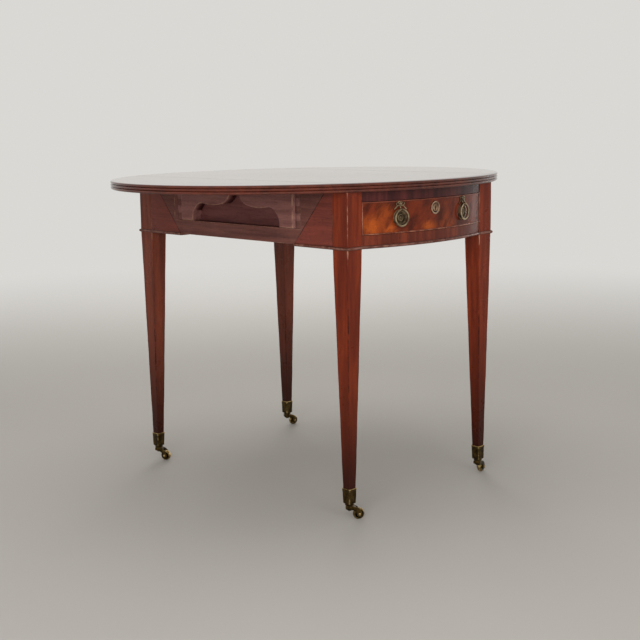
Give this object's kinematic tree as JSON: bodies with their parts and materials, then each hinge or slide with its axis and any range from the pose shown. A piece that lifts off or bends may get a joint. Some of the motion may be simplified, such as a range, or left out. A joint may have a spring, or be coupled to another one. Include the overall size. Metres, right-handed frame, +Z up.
{
  "type": "pembroke table",
  "caption": "Oval drop-leaf occasional table with tapered legs on brass casters, fly brackets that hold the flaps up, and a bowed frieze drawer with ring pulls.",
  "frame": {"origin": "on the floor under the middle of the oval top", "axes": "+X across the two flaps, +Y along their hinge lines away from the drawer, +Z up"},
  "size_m": [0.984, 0.806, 0.712],
  "materials": {
    "mahogany_top": "polished mahogany, worn gloss",
    "mahogany": "red-brown polished mahogany",
    "cross_veneer": "dark crossbanded veneer, polished",
    "flame_veneer": "flame mahogany veneer, polished",
    "beech": "stained secondary wood, dry and rubbed",
    "pine": "unpolished, darkened with age",
    "oak": "unpolished drawer lining",
    "iron": "dark wrought iron",
    "old_brass": "antique brass with dark recesses",
    "caster_brass": "cast brass, rubbed bright on the wheels"
  },
  "bodies": {
    "frame": {"fixed_top": "mahogany_top", "leg_front_left": "mahogany", "leg_front_right": "mahogany", "leg_back_left": "mahogany", "leg_back_right": "mahogany", "leg_beads": "mahogany", "side_beads": "mahogany", "end_beads": "mahogany", "end_blocks_left": "mahogany", "end_blocks_right": "mahogany", "dummy_cock_beads": "mahogany", "front_top_rail": "cross_veneer", "front_bottom_rail": "cross_veneer", "back_top_rail": "cross_veneer", "back_bottom_rail": "cross_veneer", "dummy_drawer_front": "flame_veneer", "fly_rail_left": "beech", "fly_rail_right": "beech", "side_rail_left": "pine", "side_rail_right": "pine", "drawer_runners": "pine", "drawer_kickers": "pine", "drawer_stops": "pine", "top_hinge_leaves": "iron", "hinge_pins": "iron", "bracket_pins": "iron", "dummy_pull_plates": "old_brass", "dummy_key_plate": "old_brass", "caster_cups": "caster_brass"},
    "left_flap": {"left_flap": "mahogany_top", "left_flap_hinge_leaves": "iron"},
    "right_flap": {"right_flap": "mahogany_top", "right_flap_hinge_leaves": "iron"},
    "drawer": {"drawer_front": "flame_veneer", "drawer_cock_beads": "mahogany", "drawer_side_left": "oak", "drawer_side_right": "oak", "drawer_back": "oak", "drawer_bottom": "oak", "lock_case": "iron", "drawer_pull_plates": "old_brass", "drawer_key_plate": "old_brass"},
    "lock_bolt": {"lock_bolt": "old_brass"},
    "fly_bracket_front_left": {"fly_bracket_front_left": "beech"},
    "caster_front_left": {"caster_horn_front_left": "caster_brass"},
    "wheel_front_left": {"caster_wheel_front_left": "caster_brass"},
    "fly_bracket_front_right": {"fly_bracket_front_right": "beech"},
    "caster_front_right": {"caster_horn_front_right": "caster_brass"},
    "wheel_front_right": {"caster_wheel_front_right": "caster_brass"},
    "fly_bracket_back_left": {"fly_bracket_back_left": "beech"},
    "caster_back_left": {"caster_horn_back_left": "caster_brass"},
    "wheel_back_left": {"caster_wheel_back_left": "caster_brass"},
    "fly_bracket_back_right": {"fly_bracket_back_right": "beech"},
    "caster_back_right": {"caster_horn_back_right": "caster_brass"},
    "wheel_back_right": {"caster_wheel_back_right": "caster_brass"},
    "drawer_ring_left": {"drawer_pull_ring_left": "old_brass"},
    "drawer_ring_right": {"drawer_pull_ring_right": "old_brass"},
    "dummy_ring_left": {"dummy_pull_ring_left": "old_brass"},
    "dummy_ring_right": {"dummy_pull_ring_right": "old_brass"}
  },
  "joints": [
    {"name": "left_flap_hinge", "type": "hinge", "parent": "frame", "child": "left_flap", "pos_m": [-0.248, 0, 0.6975], "axis": [0, -1, 0], "range_deg": [0, 90]},
    {"name": "right_flap_hinge", "type": "hinge", "parent": "frame", "child": "right_flap", "pos_m": [0.248, 0, 0.6975], "axis": [0, 1, 0], "range_deg": [0, 90]},
    {"name": "drawer_slide", "type": "slide", "parent": "frame", "child": "drawer", "axis": [0, -1, 0], "range_m": [0, 0.38]},
    {"name": "lock_bolt_slide", "type": "slide", "parent": "drawer", "child": "lock_bolt", "axis": [0, 0, 1], "range_m": [0, 0.008]},
    {"name": "fly_bracket_front_left_swing", "type": "hinge", "parent": "frame", "child": "fly_bracket_front_left", "pos_m": [-0.2275, -0.2, 0.653], "axis": [0, 0, -1], "range_deg": [-90, 0]},
    {"name": "fly_bracket_front_right_swing", "type": "hinge", "parent": "frame", "child": "fly_bracket_front_right", "pos_m": [0.2275, -0.2, 0.653], "axis": [0, 0, 1], "range_deg": [-90, 0]},
    {"name": "fly_bracket_back_left_swing", "type": "hinge", "parent": "frame", "child": "fly_bracket_back_left", "pos_m": [-0.2275, 0.2, 0.653], "axis": [0, 0, 1], "range_deg": [-90, 0]},
    {"name": "fly_bracket_back_right_swing", "type": "hinge", "parent": "frame", "child": "fly_bracket_back_right", "pos_m": [0.2275, 0.2, 0.653], "axis": [0, 0, -1], "range_deg": [-90, 0]},
    {"name": "drawer_ring_left_swing", "type": "hinge", "parent": "drawer", "child": "drawer_ring_left", "pos_m": [-0.1051, -0.37626, 0.653], "axis": [-0.9859, 0.1671, 0], "range_deg": [0, 90]},
    {"name": "drawer_ring_right_swing", "type": "hinge", "parent": "drawer", "child": "drawer_ring_right", "pos_m": [0.1051, -0.37626, 0.653], "axis": [-0.9859, -0.1671, 0], "range_deg": [0, 90]},
    {"name": "dummy_ring_left_swing", "type": "hinge", "parent": "frame", "child": "dummy_ring_left", "pos_m": [-0.1051, 0.37626, 0.653], "axis": [0.9859, 0.1671, 0], "range_deg": [0, 90]},
    {"name": "dummy_ring_right_swing", "type": "hinge", "parent": "frame", "child": "dummy_ring_right", "pos_m": [0.1051, 0.37626, 0.653], "axis": [0.9859, -0.1671, 0], "range_deg": [0, 90]},
    {"name": "caster_front_left_swivel", "type": "hinge", "parent": "frame", "child": "caster_front_left", "pos_m": [-0.22299, -0.33099, 0.028], "axis": [0, 0, 1], "continuous": true},
    {"name": "wheel_front_left_roll", "type": "hinge", "parent": "caster_front_left", "child": "wheel_front_left", "pos_m": [-0.20567, -0.34099, 0.0125], "axis": [0.5, 0.866, 0], "continuous": true},
    {"name": "caster_front_right_swivel", "type": "hinge", "parent": "frame", "child": "caster_front_right", "pos_m": [0.22299, -0.33099, 0.028], "axis": [0, 0, 1], "continuous": true},
    {"name": "wheel_front_right_roll", "type": "hinge", "parent": "caster_front_right", "child": "wheel_front_right", "pos_m": [0.24231, -0.32582, 0.0125], "axis": [-0.2588, 0.9659, 0], "continuous": true},
    {"name": "caster_back_left_swivel", "type": "hinge", "parent": "frame", "child": "caster_back_left", "pos_m": [-0.22299, 0.33099, 0.028], "axis": [0, 0, 1], "continuous": true},
    {"name": "wheel_back_left_roll", "type": "hinge", "parent": "caster_back_left", "child": "wheel_back_left", "pos_m": [-0.2155, 0.31245, 0.0125], "axis": [0.9272, 0.3746, 0], "continuous": true},
    {"name": "caster_back_right_swivel", "type": "hinge", "parent": "frame", "child": "caster_back_right", "pos_m": [0.22299, 0.33099, 0.028], "axis": [0, 0, 1], "continuous": true},
    {"name": "wheel_back_right_roll", "type": "hinge", "parent": "caster_back_right", "child": "wheel_back_right", "pos_m": [0.2428, 0.32821, 0.0125], "axis": [0.1392, 0.9903, 0], "continuous": true}
  ]
}
